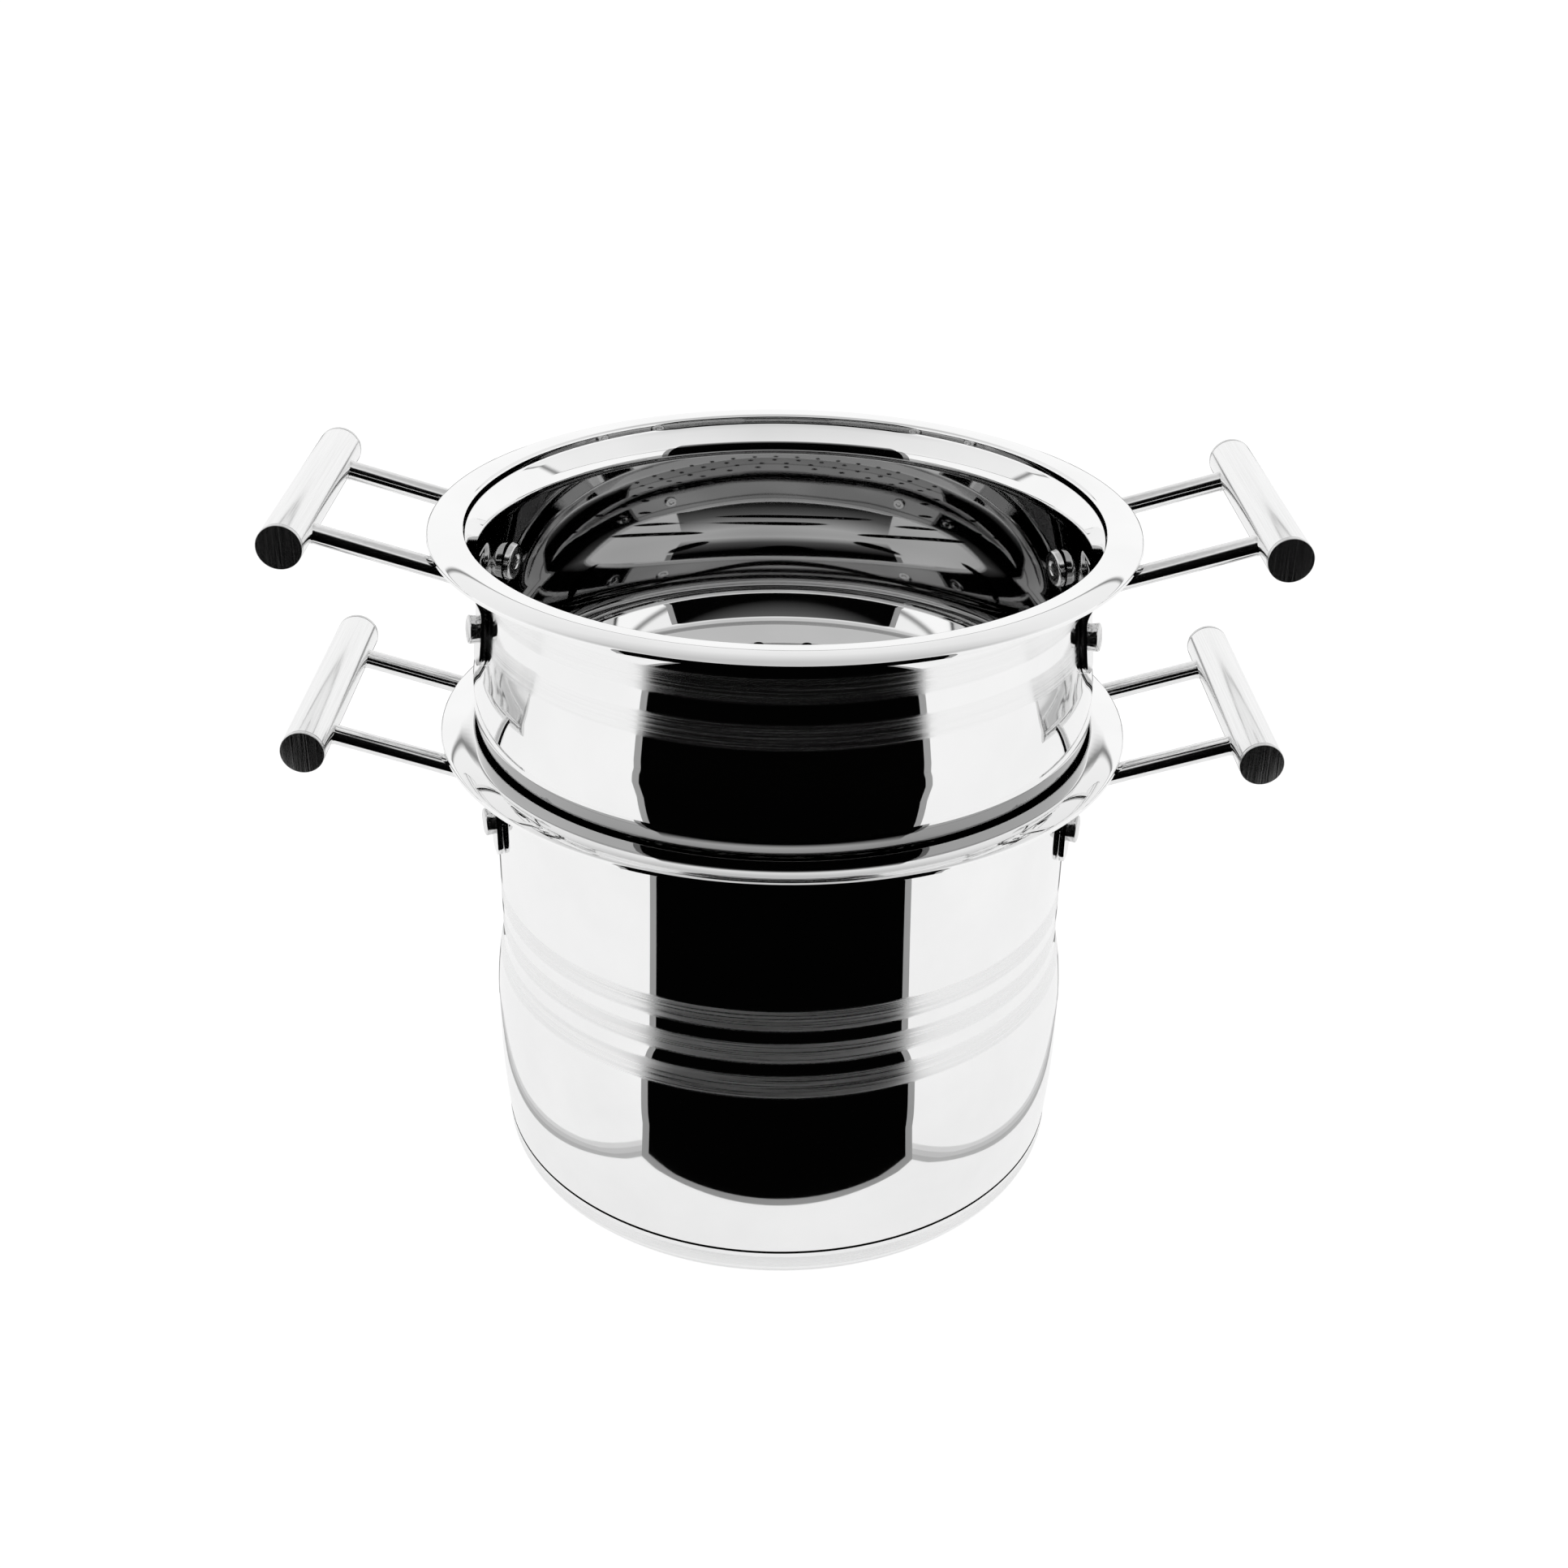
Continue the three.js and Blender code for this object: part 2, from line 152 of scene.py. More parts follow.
def polished_steel(name, bands=(), satin_low=0, satin_high=0):
    """Mirror-polished stainless steel. It shows the room sharply, with a trace of haze where hands and
    cloths have been. The bands are satin rings left by a fine abrasive belt, (low, high) in millimetres;
    belt lines run round the vessel and draw every reflection out upwards and downwards."""
    haze_size = 38
    material, tree, shader = metal(name)
    place = node(tree, "ShaderNodeTexCoord").outputs["Object"]
    haze = node(tree, "ShaderNodeTexNoise", [
        ("Vector", place), ("Scale", 1000 / haze_size), ("Detail", 3.0)])
    shade = node(tree, "ShaderNodeValToRGB", [("Fac", haze.outputs["Fac"])],
                 stops=[(0.3, linear("#f4f4f4")), (0.7, linear("#f9f9f9"))])
    polish = node(tree, "ShaderNodeMapRange", [
        ("Value", haze.outputs["Fac"]), ("From Min", 0.35), ("From Max", 0.75),
        ("To Min", 0.02), ("To Max", 0.035)])
    if not bands:
        tree.links.new(shade.outputs["Color"], shader.inputs["Base Color"])
        tree.links.new(polish.outputs["Result"], shader.inputs["Roughness"])
        return material
    # A ramp over the height of all the bands, and a margin, is white in the bands with soft borders.
    margin, soft = 5, 0.5
    black, white = (0, 0, 0, 1), (1, 1, 1, 1)
    low, high = min(bands)[0] - margin, max(bands)[1] + margin
    edge = soft / (high - low)
    stops = [(0, black)]
    for start, end in bands:
        start, end = (start - low) / (high - low), (end - low) / (high - low)
        stops += [(start - edge, black), (start + edge, white), (end - edge, white), (end + edge, black)]
    height = node(tree, "ShaderNodeSeparateXYZ", [("Vector", place)]).outputs["Z"]
    along = node(tree, "ShaderNodeMapRange", [
        ("Value", height), ("From Min", low / 1000), ("From Max", high / 1000)])
    rings = node(tree, "ShaderNodeValToRGB", [("Fac", along.outputs["Result"])], stops=stops)
    satin = rings.outputs["Color"]
    # Belt lines are about 0.1 mm apart; they are drawn 0.7 mm apart so that they show. Along the wall they
    # change nine times in a metre.
    line_gap, per_metre = 0.7, 9
    stretched = node(tree, "ShaderNodeMapping", [
        ("Vector", place), ("Scale", (per_metre, per_metre, 1000 / line_gap))])
    lines = node(tree, "ShaderNodeTexNoise", [
        ("Vector", stretched.outputs["Vector"]), ("Scale", 1.0), ("Detail", 4.0), ("Roughness", 0.7)])
    belt = node(tree, "ShaderNodeMapRange", [
        ("Value", lines.outputs["Fac"]), ("From Min", 0.38), ("From Max", 0.62),
        ("To Min", satin_low), ("To Max", satin_high)])
    rough = node(tree, "ShaderNodeMix", [
        ("Factor", satin), ("A", polish.outputs["Result"]), ("B", belt.outputs["Result"])])
    tree.links.new(rough.outputs["Result"], shader.inputs["Roughness"])
    shader.inputs["Anisotropic"].default_value = 0.92
    shader.inputs["Anisotropic Rotation"].default_value = 0.25
    ground = node(tree, "ShaderNodeValToRGB", [("Fac", lines.outputs["Fac"])],
                  stops=[(0.3, linear("#f0f0f0")), (0.7, linear("#fafafa"))])
    # The mix node's colours are its inputs 6 and 7 and its output 2.
    tone = node(tree, "ShaderNodeMix", [
        ("Factor", satin), (6, shade.outputs["Color"]), (7, ground.outputs["Color"])], data_type="RGBA")
    tree.links.new(tone.outputs[2], shader.inputs["Base Color"])
    return material


# A near-black line where capsule and pot meet, in 6 mm patches of random tone: painted shade for the shadow
# in the seam's groove.
SHADE_PATCH_SIZE = 6
seam_shade, tree, shader = metal("seam_painted_shade")
place = node(tree, "ShaderNodeTexCoord").outputs["Object"]
shade_patches = node(tree, "ShaderNodeTexNoise", [
    ("Vector", place), ("Scale", 1000 / SHADE_PATCH_SIZE), ("Detail", 2.0)])
shade_tone = node(tree, "ShaderNodeValToRGB", [("Fac", shade_patches.outputs["Fac"])],
            stops=[(0.35, linear("#0c0c0c")), (0.7, linear("#1d1c1b"))])
tree.links.new(shade_tone.outputs["Color"], shader.inputs["Base Color"])
shader.inputs["Roughness"].default_value = 0.6

plain_steel = polished_steel("polished_stainless_steel")
capsule = walled(spun([(0, 0, 0), (SEAM_R, 0, CAPSULE_CORNER), (SEAM_R, CAPSULE_TOP, 0)]))
brushed_capsule = polished_steel("polished_stainless_with_brushed_edge", CAPSULE_BANDS, 0.2, 0.3)
# The capsule's top edge is painted near-black: painted shade in the seam.
placed(darkened(capsule, CAPSULE_TOP - 0.1, CAPSULE_TOP + 0.1), "pressed_capsule",
       [brushed_capsule, plain_steel, seam_shade], "pot", "base_capsule")


# Heat spreader: a rolled aluminium disc, brazed under the pot's floor and hidden by the capsule.
# The CAD solid keeps its shape and gets a dull rolled finish with lines along the mill's direction.
ROLL_LINE_GAP = 0.8
ROLL_LINE_LENGTH = 60
aluminium, tree, shader = metal("rolled_aluminium")
place = node(tree, "ShaderNodeTexCoord").outputs["Object"]
stretched = node(tree, "ShaderNodeMapping", [
    ("Vector", place), ("Scale", (1000 / ROLL_LINE_LENGTH, 1000 / ROLL_LINE_GAP, 1000 / ROLL_LINE_LENGTH))])
lines = node(tree, "ShaderNodeTexNoise", [
    ("Vector", stretched.outputs["Vector"]), ("Scale", 1.0), ("Detail", 3.0)])
tone = node(tree, "ShaderNodeValToRGB", [("Fac", lines.outputs["Fac"])],
            stops=[(0.3, linear("#bfc2c4")), (0.7, linear("#d2d4d6"))])
tree.links.new(tone.outputs["Color"], shader.inputs["Base Color"])
shader.inputs["Roughness"].default_value = 0.4
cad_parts["heat_spreader"].data.materials.clear()
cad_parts["heat_spreader"].data.materials.append(aluminium)


# Stew pot: one deep-drawn stainless shell, polished outside. From the floor it rounds into a belly,
# steps in to a straight neck and opens into a ledge, a lid seat and a flange with a rounded edge.
# Three satin rings are ground into the wall where the neck meets the belly.
POT_RIM = 194
POT_FLOOR = 6.4
POT_FLAT_R = 102.4
POT_CORNER_R = 114.4
POT_NECK_R = 114.5
POT_BELLY_R = 118.1
SEAM_LOW, SEAM_HIGH = 15.7, 16.1
BELLY_LOW, BELLY_HIGH = 33.8, 81
NECK_LOW = 99
POT_BANDS = [(89.4, 98.4), (103.7, 112.7), (118, 127)]
LEDGE_R = 119.9
LEDGE_DROP = 5.2
LEDGE_SLOPE = 4.4 / 3
SEAT_LOW_R, SEAT_HIGH_R = 120.9, 121.1
FLANGE_FLAT_R, FLANGE_R = 129.6, 133.15
BRIGHT_DEPTH = 10


def rim(top, neck_r):
    """The corners of a vessel's rim above its neck, on the outer and lower side of the sheet: the sloping
    ledge, the upright lid seat, the flat flange and its rounded edge."""
    return [
        (neck_r, top - LEDGE_DROP - (LEDGE_R - neck_r) * LEDGE_SLOPE, 3),
        (LEDGE_R, top - LEDGE_DROP, 0.7),
        (SEAT_LOW_R, top - 3.9, 0.7),
        (SEAT_HIGH_R, top - SHEET, 0.5),
        (FLANGE_FLAT_R, top - 0.85, 3.8),
        (FLANGE_R, top - 2.4, 0.7),
        (FLANGE_R, top - 3.2, 0),
    ]


def drawn_inside(name):
    """The inner side of a drawn shell: polished over the slight waves that drawing leaves, 55 mm apart
    and a few tenths of a millimetre deep, so that reflections swim. Its base colour is a darker grey than
    the outside's: painted shade."""
    wave_size, wave_depth = 55, 0.3
    material, tree, shader = metal(name)
    place = node(tree, "ShaderNodeTexCoord").outputs["Object"]
    waves = node(tree, "ShaderNodeTexNoise", [
        ("Vector", place), ("Scale", 1000 / wave_size), ("Detail", 0.0)])
    # Base colour #a0a0a0 to #b0b0b0, far darker than the outer steel: painted shade for the inside of the
    # vessel.
    shade = node(tree, "ShaderNodeValToRGB", [("Fac", waves.outputs["Fac"])],
                 stops=[(0.3, linear("#a0a0a0")), (0.7, linear("#b0b0b0"))])
    tree.links.new(shade.outputs["Color"], shader.inputs["Base Color"])
    bump = node(tree, "ShaderNodeBump", [
        ("Height", waves.outputs["Fac"]), ("Distance", wave_depth / 1000)])
    tree.links.new(bump.outputs["Normal"], shader.inputs["Normal"])
    shader.inputs["Roughness"].default_value = 0.03
    return material


# The flat of the floor ends in a ring of its own, so that its shading stays flat up to the corner.
shaded_inside_steel = drawn_inside("drawn_stainless_painted_shade")
# Deeper than BRIGHT_DEPTH below the rim, the inner walls take the darker inner steel as painted shade; the
# floor and faces that slope up keep the bright outer steel.
pot = walled(spun([
    (0, POT_FLOOR, 0),
    (POT_FLAT_R, POT_FLOOR, 0),
    (POT_CORNER_R, POT_FLOOR, 8.5),
    (POT_CORNER_R, SEAM_LOW, 0),
    (SEAM_R, SEAM_HIGH, 0),
    (POT_BELLY_R, BELLY_LOW, 16),
    (POT_BELLY_R, BELLY_HIGH, 11),
    (POT_NECK_R, NECK_LOW, 4),
    *rim(POT_RIM, POT_NECK_R),
]), POT_RIM - BRIGHT_DEPTH)
banded_pot = polished_steel("polished_stainless_with_satin_rings", POT_BANDS, 0.2, 0.44)
# The pot's small step just above the capsule is painted near-black too: painted shade in the seam.
placed(darkened(pot, CAPSULE_TOP, SEAM_HIGH - 0.05), "pot_shell", [banded_pot, shaded_inside_steel, seam_shade],
       "pot", "pot_body")


# Steamer: a second drawn shell, shallower. It swells below the neck, then draws in again and stands with
# its rounded corner on the pot's ledge. Below the swell, in the gap over the pot's flange, its outside is
# painted the darker grey of the inner side: painted shade.
# The floor is punched with rows of round holes for the steam.
STEAMER_RIM = 275
STEAMER_FLOOR = 181
STEAMER_FLAT_R = 107
STEAMER_FOOT_R = 112.6
STAND_R, STAND_Z = 119.3, 194
STEAMER_BELLY_R, STEAMER_BELLY_Z = 121.9, 209.5
STEAMER_NECK_R = 114.9
# Between these heights the steamer's outside takes the inner side's darker grey: painted shade in the gap
# over the pot's flange.
PAINTED_SHADE_LOW, PAINTED_SHADE_HIGH = 183, 201.9
STEAMER_BANDS = [(STEAMER_RIM - 41, STEAMER_RIM - 32), (STEAMER_RIM - 24.5, STEAMER_RIM - 15)]
HOLE_R = 2.3
HOLE_SIDES = 20
HOLE_ROWS = [(58, 16), (68, 20), (78, 22), (88, 26)]
PUNCH_LENGTH = 6

steamer = walled(spun([
    (0, STEAMER_FLOOR, 0),
    (STEAMER_FLAT_R, STEAMER_FLOOR, 0),
    (STEAMER_FOOT_R, STEAMER_FLOOR, 3),
    (STAND_R, STAND_Z, 3),
    (STEAMER_BELLY_R, STEAMER_BELLY_Z, 12),
    (117.4, 228.5, 6.5),
    (115.6, 243, 8),
    *rim(STEAMER_RIM, STEAMER_NECK_R),
]), STEAMER_RIM - BRIGHT_DEPTH)
punches = bmesh.new()
for radius, count in HOLE_ROWS:
    for step in range(count):
        turn = Matrix.Rotation(math.tau * step / count, 4, "Z")
        bmesh.ops.create_cone(punches, cap_ends=True, segments=HOLE_SIDES, radius1=HOLE_R, radius2=HOLE_R,
                              depth=PUNCH_LENGTH,
                              matrix=turn @ Matrix.Translation((radius, 0, STEAMER_FLOOR)))
bmesh.ops.scale(punches, vec=TO_METRES, verts=punches.verts)
punch_mesh = bpy.data.meshes.new("punches")
punches.to_mesh(punch_mesh)
punches.free()
punch_mesh.materials.append(shaded_inside_steel)
punch_tool = bpy.data.objects.new("punches", punch_mesh)
bpy.context.scene.collection.objects.link(punch_tool)
banded_steamer = polished_steel("polished_stainless_with_faint_rings", STEAMER_BANDS, 0.1, 0.26)
shell = placed(darkened(steamer, PAINTED_SHADE_LOW, PAINTED_SHADE_HIGH), "steamer_shell",
               [banded_steamer, shaded_inside_steel, shaded_inside_steel], "steamer", "steamer_body")
punched = shell.modifiers.new("punched", "BOOLEAN")
punched.object = punch_tool
punched.operation = "DIFFERENCE"
punched.solver = "MANIFOLD"
punched.material_mode = "TRANSFER"
solid = shell.evaluated_get(bpy.context.evaluated_depsgraph_get())
shell_mesh = bpy.data.meshes.new_from_object(solid)
shell.modifiers.clear()
shell.data = shell_mesh
shell_mesh.set_sharp_from_angle(angle=CREASE)
bpy.data.objects.remove(punch_tool)


# Handle arms: round stainless rod, welded to the grip, sloping down under the flange, then bent and
# hammered flat into a strap that lies on the wall and takes the rivet. Two carry each grip.
GRIP_X = 178
GRIP_RISE = 5
GRIP_R = 8.35
ROD_R = 3.75
ROD_SPREAD = 34.5
ROD_SLOPE = 0.3
# Rings of the weld: how far each lies inside the tube's surface, and how far it stands out from the rod.
WELD_RINGS = ((1.5, 0.3), (-0.2, 0.25), (-0.6, 0))
BEND_X = 123.5
STRAP_THICK = 2.2
STRAP_WIDE = 13
STRAP_TOP = -27
STRAP_END = -47.5
STRAP_STEPS = 8
STRAP_CLEAR = 0.3
STRAP_SQUARE = 0.9
SECTION_SIDES = 24
BEND_STEPS = 24
TIP_STEPS = 6
TIP_ROUND = 4.5
# Each vessel gives the height of its flange, the wall's radius at the straps' tops and how far the wall,
# and the strap with it, swells out from there to the straps' tips; part of the swell is straight.
STEAMER_STRAP_R = 115.3
STEAMER_SWELL = 2.3
SWELL_STRAIGHT = 0.6
VESSELS = (("pot", POT_RIM, POT_NECK_R, 0), ("steamer", STEAMER_RIM, STEAMER_STRAP_R, STEAMER_SWELL))
HANDLES = [(vessel, top, wall_r, swell, side, half_turn) for vessel, top, wall_r, swell in VESSELS
           for side, half_turn in (("right", 0), ("left", math.pi))]


def at_handle(bm, top, half_turn):
    """A handle piece made for the right side of a flange at height 0, taken to its own place."""
    bmesh.ops.rotate(bm, cent=(0, 0, 0), matrix=Matrix.Rotation(half_turn, 3, "Z"), verts=bm.verts)
    bmesh.ops.translate(bm, vec=(0, 0, top), verts=bm.verts)
    return bm


def ends(half_turn):
    """Names of a handle's two ends and the way each one lies before the handle is turned."""
    return (("front", -1), ("back", 1)) if half_turn == 0 else (("front", 1), ("back", -1))


def strap_r(wall_r, swell, z):
    """Radius of the middle of a strap at a height below its flange."""
    share = (STRAP_TOP - z) / (STRAP_TOP - STRAP_END)
    swelling = swell * share * (SWELL_STRAIGHT + (1 - SWELL_STRAIGHT) * share)
    return wall_r + STRAP_CLEAR + STRAP_THICK / 2 + swelling


def strap_angle(wall_r):
    """How far round the vessel a strap lies, so that its rod runs straight out to the grip."""
    return math.asin(ROD_SPREAD / strap_r(wall_r, 0, STRAP_TOP))


def arm(way, wall_r, swell):
    """A capped cylinder led along the rod's route, ring by ring: round at the grip, flat at the strap."""
    angle = way * strap_angle(wall_r)
    outward = Vector((math.cos(angle), math.sin(angle), 0))

    def on_rod(x):
        return Vector((x, way * ROD_SPREAD, GRIP_RISE - (GRIP_X - x) * ROD_SLOPE))

    def on_strap(z):
        return outward * strap_r(wall_r, swell, z) + Vector((0, 0, z))

    end = on_strap(STRAP_TOP)
    start, knee = on_rod(BEND_X), on_rod(end.x)
    weld_x = GRIP_X - GRIP_R / math.hypot(1, ROD_SLOPE)
    rings = [(on_rod(weld_x + inset), start - knee, 0, ROD_R + flare, ROD_R + flare)
             for inset, flare in WELD_RINGS]
    for step in range(BEND_STEPS + 1):
        t = step / BEND_STEPS
        flat = t * t * (3 - 2 * t)
        at = (1 - t) ** 2 * start + 2 * t * (1 - t) * knee + t * t * end
        back = (1 - t) * (start - knee) + t * (knee - end)
        thick = ROD_R + (STRAP_THICK / 2 - ROD_R) * flat
        wide = ROD_R + (STRAP_WIDE / 2 - ROD_R) * flat
        rings.append((at, back, flat, thick, wide))
    strap_length = STRAP_TOP - STRAP_END - TIP_ROUND
    strap = [(STRAP_TOP - strap_length * step / STRAP_STEPS, STRAP_WIDE / 2)
             for step in range(1, STRAP_STEPS)]
    for step in range(TIP_STEPS + 1):
        turn = math.pi / 2 * step / TIP_STEPS
        strap.append((STRAP_END + TIP_ROUND * (1 - math.sin(turn)),
                      STRAP_WIDE / 2 - TIP_ROUND * (1 - math.cos(turn))))
    for z, wide in strap:
        rings.append((on_strap(z), on_strap(z + 1) - on_strap(z - 1), 1, STRAP_THICK / 2, wide))

    bm = bmesh.new()
    last = len(rings) - 1
    bmesh.ops.create_cone(bm, cap_ends=True, segments=SECTION_SIDES, radius1=1, radius2=1, depth=last)
    lengths = [edge for edge in bm.edges if abs(edge.verts[0].co.z - edge.verts[1].co.z) > last / 2]
    bmesh.ops.subdivide_edges(bm, edges=lengths, cuts=last - 1)
    for vert in bm.verts:
        at, back, flat, thick, wide = rings[round(last / 2 - vert.co.z)]
        turn = angle * flat
        across = Vector((-math.sin(turn), math.cos(turn), 0))
        up = back.cross(across).normalized()
        squared = max(abs(vert.co.x), abs(vert.co.y)) ** (-STRAP_SQUARE * flat)
        vert.co = at + up * (vert.co.x * squared * thick) + across * (vert.co.y * squared * wide)
    bmesh.ops.recalc_face_normals(bm, faces=bm.faces)
    return bm


def drawn_steel(name, along, light, dark, low, high):
    """Drawn or ground stainless stock: bright, with fine lines along one axis that soften what it mirrors.
    The lines are about 0.1 mm apart; they are drawn 0.5 mm apart so that they show."""
    line_gap, line_length, line_depth = 0.5, 40, 0.003
    material, tree, shader = metal(name)
    place = node(tree, "ShaderNodeTexCoord").outputs["Object"]
    scale = [1000 / line_gap] * 3
    scale["XYZ".index(along)] = 1000 / line_length
    stretched = node(tree, "ShaderNodeMapping", [("Vector", place), ("Scale", scale)])
    lines = node(tree, "ShaderNodeTexNoise", [
        ("Vector", stretched.outputs["Vector"]), ("Scale", 1.0), ("Detail", 3.0)])
    tone = node(tree, "ShaderNodeValToRGB", [("Fac", lines.outputs["Fac"])],
                stops=[(0.3, linear(dark)), (0.65, linear(light))])
    tree.links.new(tone.outputs["Color"], shader.inputs["Base Color"])
    rough = node(tree, "ShaderNodeMapRange", [
        ("Value", lines.outputs["Fac"]), ("From Min", 0.3), ("From Max", 0.7),
        ("To Min", low), ("To Max", high)])
    tree.links.new(rough.outputs["Result"], shader.inputs["Roughness"])
    bump = node(tree, "ShaderNodeBump", [
        ("Height", lines.outputs["Fac"]), ("Distance", line_depth / 1000)])
    tree.links.new(bump.outputs["Normal"], shader.inputs["Normal"])
    return material


rod_steel = drawn_steel("drawn_stainless_rod", "X", "#f2f2f2", "#e6e6e6", 0.05, 0.1)
for vessel, top, wall_r, swell, side, half_turn in HANDLES:
    for end, way in ends(half_turn):
        name = f"{vessel}_{side}_{end}"
        placed(at_handle(arm(way, wall_r, swell), top, half_turn), f"{name}_rod", [rod_steel],
               vessel, f"{name}_arm")


# Rivets: solid stainless, one through each strap and the wall. Outside the head stands tall and flat,
# inside it is a wide low disc with the closed end of the shank showing as a ring in its middle.
RIVET_Z = -34
RIVET_SIDES = 48
SHANK_R = 3
INNER_CLEAR = 0.5
INNER_HEAD_TALL = 2.4
SHANK_END_TALL = 1.7
OUTER_HEAD_TALL = 3.7
OUTER_HEAD_CROWN = 4.3
rivet_steel = drawn_steel("turned_stainless_rivet", "Z", "#e4e4e4", "#d0d0d0", 0.08, 0.16)
for vessel, top, wall_r, swell, side, half_turn in HANDLES:
    for end, way in ends(half_turn):
        strap_middle = strap_r(wall_r, swell, RIVET_Z)
        tilt = math.atan(strap_r(wall_r, swell, RIVET_Z - 1) - strap_middle)
        face_in = strap_middle - STRAP_THICK / 2 - STRAP_CLEAR - SHEET - INNER_CLEAR
        face_out = strap_middle + STRAP_THICK / 2
        rivet = spun([
            (0, face_in - SHANK_END_TALL, 0),
            (2.6, face_in - SHANK_END_TALL, 0.5),
            (3.2, face_in - INNER_HEAD_TALL, 0.4),
            (7.1, face_in - INNER_HEAD_TALL, 0.8),
            (7.7, face_in, 0),
            (SHANK_R, face_in, 0),
            (SHANK_R, face_out, 0),
            (5.1, face_out, 0),
            (5.4, face_out + OUTER_HEAD_TALL, 0.7),
            (0, face_out + OUTER_HEAD_CROWN, 0),
        ], RIVET_SIDES)
        for angle, axis, centre in ((math.pi / 2, "Y", (0, 0, 0)), (-tilt, "Y", (strap_middle, 0, 0)),
                                    (way * strap_angle(wall_r), "Z", (0, 0, 0))):
            bmesh.ops.rotate(rivet, cent=centre, matrix=Matrix.Rotation(angle, 3, axis), verts=rivet.verts)
        bmesh.ops.translate(rivet, vec=(0, 0, RIVET_Z), verts=rivet.verts)
        name = f"{vessel}_{side}_{end}"
        placed(at_handle(rivet, top, half_turn), f"{name}_pin", [rivet_steel],
               vessel, f"{name}_rivet")


# Grips: lengths of drawn stainless tube, welded across the two arms of each handle.
# The tube is polished along its length and keeps fine lines along it.
GRIP_LENGTH = 110
GRIP_WALL = 1.2
GRIP_SIDES = 64
CAP_THICK = 1.8
CAP_GAP = 0.15
bore_r = GRIP_R - GRIP_WALL
half = GRIP_LENGTH / 2 - CAP_THICK - CAP_GAP
tube_steel = drawn_steel("drawn_stainless_tube", "Y", "#f4f4f4", "#ececec", 0.08, 0.14)
for vessel, top, _, _, side, half_turn in HANDLES:
    grip = spun([
        (bore_r, -half, 0),
        (GRIP_R, -half, 0.25),
        (GRIP_R, half, 0.25),
        (bore_r, half, 0),
        (bore_r, -half, 0),
    ], GRIP_SIDES)
    bmesh.ops.rotate(grip, cent=(0, 0, 0), matrix=Matrix.Rotation(math.pi / 2, 3, "X"), verts=grip.verts)
    bmesh.ops.translate(grip, vec=(GRIP_X, 0, GRIP_RISE), verts=grip.verts)
    name = f"{vessel}_{side}"
    placed(at_handle(grip, top, half_turn), f"{name}_tube", [tube_steel],
           vessel, f"{name}_grip")


# End caps: flat stainless discs pressed into the ends of each tube on a short spigot, then ground
# flush across the joint, which leaves parallel grinding lines on the face.
SPIGOT_LENGTH = 4
SPIGOT_CLEAR = 0.3
spigot_r = bore_r - SPIGOT_CLEAR
cap_steel = drawn_steel("ground_stainless_cap", "Z", "#e0e0e0", "#c4c4c4", 0.12, 0.27)
for vessel, top, _, _, side, half_turn in HANDLES:
    for end, way in ends(half_turn):
        cap = spun([
            (0, -SPIGOT_LENGTH, 0),
            (spigot_r, -SPIGOT_LENGTH, 0),
            (spigot_r, 0, 0),
            (GRIP_R, 0, 0.2),
            (GRIP_R, CAP_THICK, 0.35),
            (0, CAP_THICK, 0),
        ], GRIP_SIDES)
        bmesh.ops.rotate(cap, cent=(0, 0, 0), matrix=Matrix.Rotation(-way * math.pi / 2, 3, "X"),
                         verts=cap.verts)
        seat_y = way * (GRIP_LENGTH / 2 - CAP_THICK)
        bmesh.ops.translate(cap, vec=(GRIP_X, seat_y, GRIP_RISE), verts=cap.verts)
        name = f"{vessel}_{side}_{end}"
        placed(at_handle(cap, top, half_turn), f"{name}_disc", [cap_steel],
               vessel, f"{name}_cap")


# Studio: a matt white floor under an even white surround. In front, the dark room between the soft
# boxes and the edge of the white board show only in the steel, as they do on any polished pot.
FLOOR_Z = -0.3
FLOOR_REACH = 6000


def set_piece(bm, name, material, seen_by_camera=False):
    """A piece of the studio, in metres. One that the camera doesn't see shows in mirrors alone."""
    bmesh.ops.scale(bm, vec=TO_METRES, verts=bm.verts)
    mesh = bpy.data.meshes.new(name)
    bm.to_mesh(mesh)
    bm.free()
    mesh.materials.append(material)
    piece = bpy.data.objects.new(name, mesh)
    bpy.context.scene.collection.objects.link(piece)
    if not seen_by_camera:
        piece.visible_camera = False
        piece.visible_diffuse = False
        piece.visible_transmission = False
        piece.visible_shadow = False


def matt(name, colour):
    """Matt painted card: one even tone, without a shine."""
    material = bpy.data.materials.new(name)
    material.use_nodes = True
    shader = material.node_tree.nodes["Principled BSDF"]
    shader.inputs["Base Color"].default_value = linear(colour)
    shader.inputs["Roughness"].default_value = 1
    shader.inputs["Specular IOR Level"].default_value = 0
    return material


# The board is pale to light on the object. What the camera sees straight is lifted to white, and what it
# sees in the steel is lifted to just that white, so that the steel keeps its own tone.
SEEN_STRAIGHT = 0.75
SEEN_IN_STEEL = 0.62
board = bpy.data.materials.new("matt_white_board")
board.use_nodes = True
tree = board.node_tree
tree.nodes.clear()
path = node(tree, "ShaderNodeLightPath").outputs
mirrored = node(tree, "ShaderNodeMath", [
    (0, path["Is Glossy Ray"]), (1, path["Is Transmission Ray"])], operation="MAXIMUM")
in_steel = node(tree, "ShaderNodeMath", [
    (0, mirrored.outputs["Value"]), (1, SEEN_IN_STEEL)], operation="MULTIPLY")
lift = node(tree, "ShaderNodeMath", [
    (0, path["Is Camera Ray"]), (1, SEEN_STRAIGHT), (2, in_steel.outputs["Value"])],
            operation="MULTIPLY_ADD")
pale = node(tree, "ShaderNodeBsdfDiffuse", [("Color", linear("#b0b0b0"))])
glow = node(tree, "ShaderNodeEmission", [("Strength", lift.outputs["Value"])])
